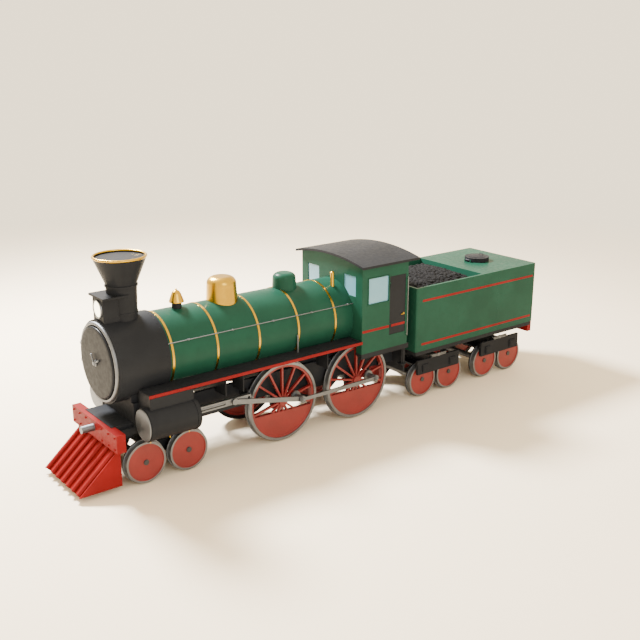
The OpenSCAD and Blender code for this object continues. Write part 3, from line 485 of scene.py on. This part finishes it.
for word, side in SIDES:
    z0 = STRIPE_Z - STRIPE_H / 2
    z1 = z0 + STRIPE_H
    side_panel("cab_stripe_" + word, side, (-2.667, z0), (-1.905, z1), CAB_Y, "red", "engine")
    door = "cab_door_" + word
    side_panel("door_stripe_" + word, side, (-3.128, z0), (-2.730, z1), DOOR_Y, "red", door)
    window_frame("window_frame_" + word, side, (-2.635, -2.068), (2.585, 3.140), CAB_Y)
    for tag, z in (("low", 1.37), ("high", 2.385)):
        name = "tank_stripe_%s_%s" % (tag, word)
        high = (TANK_STRIPE_END_X, z + TANK_STRIPE_H)
        side_panel(name, side, (TANK_STRIPE_X, z), high, TANK_Y, "red", "tender")


def door_handle(side):
    def build(bm):
        base = at(-3.085, side * DOOR_Y, 2.22)
        lathe(bm, base, Y * side, ((0.024, -0.002), (0.024, 0.008), (0.012, 0.010), (0.012, 0.030)), 16)
        tip = Vector((0.0, side * 0.036, 0.0))
        tube(bm, [base + tip, base + tip + X * 0.05, base + tip + X * 0.10 - Z * 0.006], 0.009, 10)

    return build


def plate_rivets(bm, side, face, start, end):
    """A row of small rivets on a side face, between two (x, z) points."""
    low = at(start[0], side * face, start[1])
    high = at(end[0], side * face, end[1])
    row(bm, low, high, RIVET_STEP, Y * side, SMALL_RIVET_R)


def tank_rivets(side):
    def build(bm):
        for z in (1.262, 2.690):
            plate_rivets(bm, side, TANK_Y, (-7.39, z), (-3.50, z))
        for x in (-7.405, -6.12, -4.80, -3.485):
            plate_rivets(bm, side, TANK_Y, (x, 1.33), (x, 2.62))

    return build


def cab_rivets(side):
    def build(bm):
        plate_rivets(bm, side, CAB_Y, (-2.60, 1.55), (-1.93, 1.55))
        plate_rivets(bm, side, CAB_Y, (-1.915, 1.60), (-1.915, 3.36))
        plate_rivets(bm, side, CAB_Y, (-2.60, 3.385), (-1.95, 3.385))

    return build


for word, side in SIDES:
    piece("door_handle_" + word, door_handle(side), "brass", "cab_door_" + word)
    piece("tank_rivets_" + word, tank_rivets(side), "green", "tender")
    piece("cab_rivets_" + word, cab_rivets(side), "green", "engine")


def tank_back(bm):
    rear = TANK_REAR_X
    for z in (1.262, 2.690):
        row(bm, at(rear, -1.03, z), at(rear, 1.03, z), RIVET_STEP, -X, SMALL_RIVET_R)
    for y in (-1.03, 0.0, 1.03):
        row(bm, at(rear, y, 1.33), at(rear, y, 2.62), RIVET_STEP, -X, SMALL_RIVET_R)


def ladder(bm):
    rear = TANK_REAR_X
    for y in (0.42, 0.78):
        points = [at(rear + 0.01, y, 2.60), at(rear - 0.07, y, 2.60), at(rear - 0.07, y, 1.19)]
        tube(bm, points, 0.013)
    for i in range(5):
        z = 1.42 + 0.26 * i
        tube(bm, [at(rear - 0.07, 0.42, z), at(rear - 0.07, 0.78, z)], 0.010)


def rear_rails(bm):
    for side in (1, -1):
        x = -7.495
        points = [at(-7.45, side * 1.00, 2.55), at(x, side * 1.00, 2.55), at(x, side * 1.00, 1.35)]
        tube(bm, points + [at(-7.45, side * 1.00, 1.35)], 0.011)


def sill_trim(bm):
    for side in (1, -1):
        row(bm, at(-7.40, side * 1.070, 1.183), at(-3.50, side * 1.070, 1.183), 0.16, Y * side, 0.012)


piece("tank_back_rivets", tank_back, "green", "tender")
piece("tender_ladder", ladder, "black", "tender")
piece("tender_rear_rails", rear_rails, "steel", "tender")
piece("tender_sill_bolts", sill_trim, "black", "tender")


def beam_bolts(bm, x, low, high, axis):
    for y in (-0.88, -0.62, -0.34, 0.34, 0.62, 0.88):
        for z in (low, high):
            nut(bm, at(x, y, z), axis, 0.020, 0.018)


piece("front_beam_bolts", lambda bm: beam_bolts(bm, 3.786, 0.865, 1.09, X), "red", "engine")
piece("rear_beam_bolts", lambda bm: beam_bolts(bm, -7.585, 0.985, 1.11, -X), "red", "tender")


def lid_trim(bm):
    centre = at(-6.522, 0.0, 2.821)
    profile = ((0.21, -0.004), (0.21, 0.006), (0.17, 0.012), (0.05, 0.016), (0.02, 0.016))
    lathe(bm, centre, Z, profile, 40)
    grip = ((-0.15, -0.06, 0), (-0.15, -0.06, 0.045), (-0.15, 0.06, 0.045), (-0.15, 0.06, 0))
    tube(bm, [centre + Vector(corner) for corner in grip], 0.009)


piece("filler_lid_trim", lid_trim, "black", "filler_lid")

# ---------------------------------------------------------------- coal


def coal_height(x, y):
    """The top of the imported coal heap, by measuring down onto it."""
    heap = frame["nodes"]["coal_heap"]
    start = heap.matrix_world.inverted() @ at(x, y, 4.0)
    hit, place, normal, face = heap.ray_cast(start, Vector((0.0, 0.0, -1.0)))
    return (heap.matrix_world @ place).z if hit else None


def lump(bm, place, size):
    made = bmesh.ops.create_icosphere(bm, subdivisions=1, radius=size, matrix=Matrix.Translation(place))
    stretch = Vector((random.uniform(0.8, 1.3), random.uniform(0.8, 1.3), random.uniform(0.45, 0.75)))
    for vert in made["verts"]:
        away = vert.co - place
        away = Vector((away.x * stretch.x, away.y * stretch.y, away.z * stretch.z))
        vert.co = place + away * random.uniform(0.80, 1.18)


def coal(bm):
    for _ in range(1500):
        x = random.uniform(-5.53, -3.56)
        y = random.uniform(-0.91, 0.91)
        top = coal_height(x, y)
        size = random.uniform(0.030, 0.062)
        if top is not None and top + size * 0.3 < RAIL.z + 2.79:
            lump(bm, Vector((at(x, y, 0).x, at(x, y, 0).y, top - size * 0.12)), size)


piece("coal_lumps", coal, "coal", "tender", sharp=20.0)

# ---------------------------------------------------------------- boiler and smokebox


def smokebox_door_trim(bm):
    centre = at(3.640, 0.0, BOILER_Z)
    boss = ((0.060, -0.01), (0.060, 0.030), (0.045, 0.040), (0.036, 0.064), (0.012, 0.068))
    lathe(bm, centre, X, boss, 24)
    for turn in (0.5, 2.1):
        arm = Vector((0.0, math.cos(turn), math.sin(turn)))
        hub = centre + X * (0.034 if turn < 1 else 0.050)
        tube(bm, [hub - arm * 0.03, hub + arm * 0.17], 0.015, 10)
        knob = ((0.015, 0.0), (0.020, 0.008), (0.020, 0.022), (0.010, 0.030))
        lathe(bm, hub + arm * 0.165, arm, knob, 12)


def smokebox_rivets(bm):
    for x in (2.585, 3.500):
        for i in range(44):
            turn = 2 * math.pi * i / 44
            if math.sin(turn) < -0.55:
                continue
            out = Vector((0.0, math.cos(turn), math.sin(turn)))
            rivet(bm, at(x, 0.0, BOILER_Z) + out * SMOKEBOX_R, out, 0.011)


piece("door_handwheel", smokebox_door_trim, "steel", "smokebox_door")
piece("smokebox_rivets", smokebox_rivets, "black", "engine")


def lamp_bezel(bm):
    outline = ((0.150, 0.0), (0.150, 0.020), (0.158, 0.028), (0.176, 0.022), (0.182, -0.004))
    hoop(bm, at(3.531, 0.0, 3.2625), X, outline)


def lamp_plates(bm):
    for side in (1, -1):
        for z in (3.11, 3.43):
            row(bm, at(3.20, side * 0.210, z), at(3.49, side * 0.210, z), 0.07, Y * side, 0.006)


piece("lamp_bezel", lamp_bezel, "steel", "engine")
piece("lamp_rivets", lamp_plates, "black", "engine")


def chimney_trim(bm):
    for z, radius in ((3.645, 0.285), (3.135, 0.262)):
        inner, outer = radius - 0.010, radius + 0.020
        outline = ((inner, -0.02), (outer, -0.016), (outer, 0.016), (inner, 0.02))
        hoop(bm, at(CHIMNEY_X, 0.0, z), Z, outline)


piece("chimney_bands", chimney_trim, "black", "engine")


def handrail_knobs(bm):
    for side in (1, -1):
        for x in (-1.75, -0.79, 0.17, 1.13, 2.10):
            inner = at(x, side * 0.675, 2.575)
            outer = at(x, side * 0.740, 2.584)
            axis = outer - inner
            lathe(bm, inner, axis, ((0.013, -0.01), (0.010, 0.03), (0.010, 0.045)), 12)
            collar = ((0.012, 0.0), (0.019, 0.006), (0.019, 0.026), (0.012, 0.032))
            lathe(bm, outer - X * 0.016, X, collar, 14)


piece("handrail_knobs", handrail_knobs, "steel", "engine")


def board_bolts(bm):
    for side in (1, -1):
        row(bm, at(-1.70, side * 1.0805, 1.775), at(3.05, side * 1.0805, 1.775), 0.24, Y * side, 0.010)


def board_tread(bm):
    for side in (1, -1):
        for i in range(9):
            y = side * (0.93 + 0.015 * i)
            tube(bm, [at(-1.70, y, 1.8065), at(3.05, y, 1.8065)], 0.0030, 6)


piece("board_bolts", board_bolts, "red", "engine")
piece("board_tread", board_tread, "black", "engine")

# ---------------------------------------------------------------- cylinders and motion


def cylinder_glands(bm):
    for side in (1, -1):
        centre = at(CYLINDER_REAR_X, side * CYLINDER_Y, CYLINDER_Z)
        gland = ((0.105, -0.01), (0.105, 0.03), (0.06, 0.04), (0.048, 0.09), (0.044, 0.09))
        lathe(bm, centre, -X, gland, 28)


def cylinder_bands(bm):
    for side in (1, -1):
        for x in (2.255, 3.205):
            outline = ((0.306, -0.03), (0.320, -0.03), (0.320, 0.03), (0.306, 0.03))
            hoop(bm, at(x, side * CYLINDER_Y, CYLINDER_Z), X, outline, 56)


def drain_cocks(bm):
    for side in (1, -1):
        for x in (2.32, 2.725, 3.13):
            top = at(x, side * CYLINDER_Y, 0.930)
            cock = ((0.018, -0.01), (0.018, 0.03), (0.010, 0.035), (0.010, 0.075), (0.006, 0.078))
            lathe(bm, top, -Z, cock, 12)


piece("cylinder_glands", cylinder_glands, "steel", "engine")
piece("cylinder_bands", cylinder_bands, "black", "engine")
piece("cylinder_drain_cocks", drain_cocks, "brass", "engine")


def pin_nut(place, side):
    def build(bm):
        nut(bm, place, Y * side, 0.034, 0.022)

    return build


for index in (1, 2):
    for word, side in SIDES:
        low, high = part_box("crank_pins_%d" % index)
        y = high.y if side > 0 else low.y
        middle = (low + high) / 2
        place = Vector((middle.x, y - side * 0.001, middle.z))
        piece("pin_nut_%d_%s" % (index, word), pin_nut(place, side), "steel", "driving_axle_%d" % index)


# ---------------------------------------------------------------- bogies and cab inside


def leaf_springs(centre_x, side):
    def build(bm):
        y0, y1 = side * 0.862, side * 0.902
        for i in range(5):
            half = 0.245 - 0.006 * (4 - i)
            z = 0.918 + 0.013 * i
            block(bm, at(centre_x - half, y0, z), at(centre_x + half, y1, z + 0.011))
        block(bm, at(centre_x - 0.035, side * 0.857, 0.913), at(centre_x + 0.035, side * 0.906, 0.986))

    return build


def axle_boxes(centre_x, side):
    def build(bm):
        for x in (centre_x - 0.435, centre_x + 0.435):
            block(bm, at(x - 0.095, side * 0.897, 0.62), at(x + 0.095, side * 0.925, 0.80))
            block(bm, at(x - 0.070, side * 0.922, 0.64), at(x + 0.070, side * 0.934, 0.76))
            for dx in (-0.075, 0.075):
                rivet(bm, at(x + dx, side * 0.925, 0.78), Y * side, 0.010)

    return build


for number, centre_x in ((1, -4.400), (2, -6.520)):
    body = "tender_bogie_%d" % number
    for word, side in SIDES:
        tag = "%d_%s" % (number, word)
        piece("bogie_springs_" + tag, leaf_springs(centre_x, side), "steel", body, bevel=0.002)
        piece("bogie_boxes_" + tag, axle_boxes(centre_x, side), "black", body, bevel=0.004)


def backhead_fittings(bm):
    rear = BACKHEAD_X
    centre = at(rear, 0.0, 2.05)
    block(bm, centre + Vector((-0.03, -0.20, -0.16)), centre + Vector((0.005, 0.20, 0.14)))
    for y, z in ((0.20, 2.55), (0.0, 2.66), (-0.20, 2.55)):
        gauge = ((0.07, -0.01), (0.07, 0.035), (0.055, 0.042), (0.054, 0.036))
        lathe(bm, at(rear, y, z), -X, gauge, 24)
    tube(bm, [at(rear - 0.05, -0.30, 2.38), at(rear - 0.05, 0.34, 2.46)], 0.016)
    lathe(bm, at(rear, 0.0, 2.42), -X, ((0.03, -0.01), (0.03, 0.07), (0.02, 0.075)), 16)
    for y in (0.42, -0.42):
        tube(bm, [at(rear - 0.05, y, 2.18), at(rear - 0.05, y, 2.44)], 0.014)


def seats(bm):
    for side in (1, -1):
        block(bm, at(-2.62, side * 0.68, SEAT_Z), at(-2.30, side * 0.96, 2.03))
        block(bm, at(-2.60, side * 0.92, SEAT_FLOOR_Z), at(-2.32, side * 0.95, SEAT_Z))
        block(bm, at(-2.60, side * 0.70, SEAT_FLOOR_Z), at(-2.56, side * 0.74, SEAT_Z))
        block(bm, at(-2.36, side * 0.70, SEAT_FLOOR_Z), at(-2.32, side * 0.74, SEAT_Z))


def reverser(bm):
    foot = at(-2.42, -0.58, 1.505)
    tube(bm, [foot, foot + Vector((0.08, 0.0, 0.82))], 0.016)
    grip = ((0.016, 0.0), (0.024, 0.01), (0.024, 0.08), (0.012, 0.09))
    lathe(bm, foot + Vector((0.08, 0.0, 0.81)), Z, grip, 14)


piece("backhead_fittings", backhead_fittings, "brass", "engine", bevel=0.004)
piece("cab_seats", seats, "wood", "engine", bevel=0.005)
piece("reverser_lever", reverser, "steel", "engine")

# ---------------------------------------------------------------- stage


FLOOR = (0.80, 0.700, 0.545)
BACKDROP = (0.98, 0.82, 0.585)
BACKDROP_LIGHT = 2.5
FADE_START = 11.0
FADE_END = 26.0


def fade_to_backdrop(n):
    """Far from the engine the floor turns into the backdrop, so that no horizon shows."""
    length = n.add("ShaderNodeVectorMath", operation="LENGTH")
    n.link(n.coords, length.inputs[0])
    far = n.spread(length.outputs["Value"], 0.0, 1.0, FADE_START, FADE_END)
    glow = n.add("ShaderNodeEmission")
    glow.inputs["Color"].default_value = (*BACKDROP, 1.0)
    glow.inputs["Strength"].default_value = BACKDROP_LIGHT
    blend = n.add("ShaderNodeMixShader")
    n.link(far, blend.inputs[0])
    n.link(n.shader.outputs["BSDF"], blend.inputs[1])
    n.link(glow.outputs["Emission"], blend.inputs[2])
    n.link(blend.outputs["Shader"], n.tree.nodes["Material Output"].inputs["Surface"])


def stage():
    bpy.ops.mesh.primitive_plane_add(size=400)
    floor = bpy.context.object
    floor.name = "floor"
    n = Nodes("floor")
    drift = n.spread(n.noise(0.15, 2.0), 0.0, 1.0)
    n.colour(n.mix(drift, FLOOR, shade(FLOOR, 1.02)))
    n.roughness(n.spread(n.noise(0.5, 3.0), 0.85, 0.95))
    n.bump(n.noise(3.0), 0.02, 0.002)
    fade_to_backdrop(n)
    floor.data.materials.append(n.material)
    world = bpy.data.worlds.new("studio")
    world.use_nodes = True
    world.node_tree.nodes["Background"].inputs["Color"].default_value = (*BACKDROP, 1.0)
    world.node_tree.nodes["Background"].inputs["Strength"].default_value = BACKDROP_LIGHT
    bpy.context.scene.world = world


def lamp(name, place, target, size, energy, colour=(1.0, 0.97, 0.92)):
    data = bpy.data.lights.new(name, "AREA")
    data.shape = "DISK"
    data.size = size
    data.energy = energy
    data.color = colour
    light = bpy.data.objects.new(name, data)
    light.location = place
    light.rotation_euler = (target - place).to_track_quat("-Z", "Y").to_euler()
    bpy.context.scene.collection.objects.link(light)


def camera():
    data = bpy.data.cameras.new("camera")
    data.lens = 50.954
    data.sensor_width = 36.0
    data.clip_end = 500.0
    cam = bpy.data.objects.new("camera", data)
    cam.location = at(10.0694, 14.8973, 7.8752)
    cam.rotation_euler = (math.radians(72.998), 0.0, math.radians(141.971))
    bpy.context.scene.collection.objects.link(cam)
    bpy.context.scene.camera = cam


stage()
camera()
MIDDLE = Vector((0.0, 0.0, 2.0))
lamp("key", Vector((4.0, -13.0, 17.0)), MIDDLE, 5.0, 30000.0, (1.0, 0.985, 0.965))
lamp("fill", Vector((6.0, 24.0, 12.0)), MIDDLE, 14.0, 2600.0, (0.90, 0.95, 1.0))
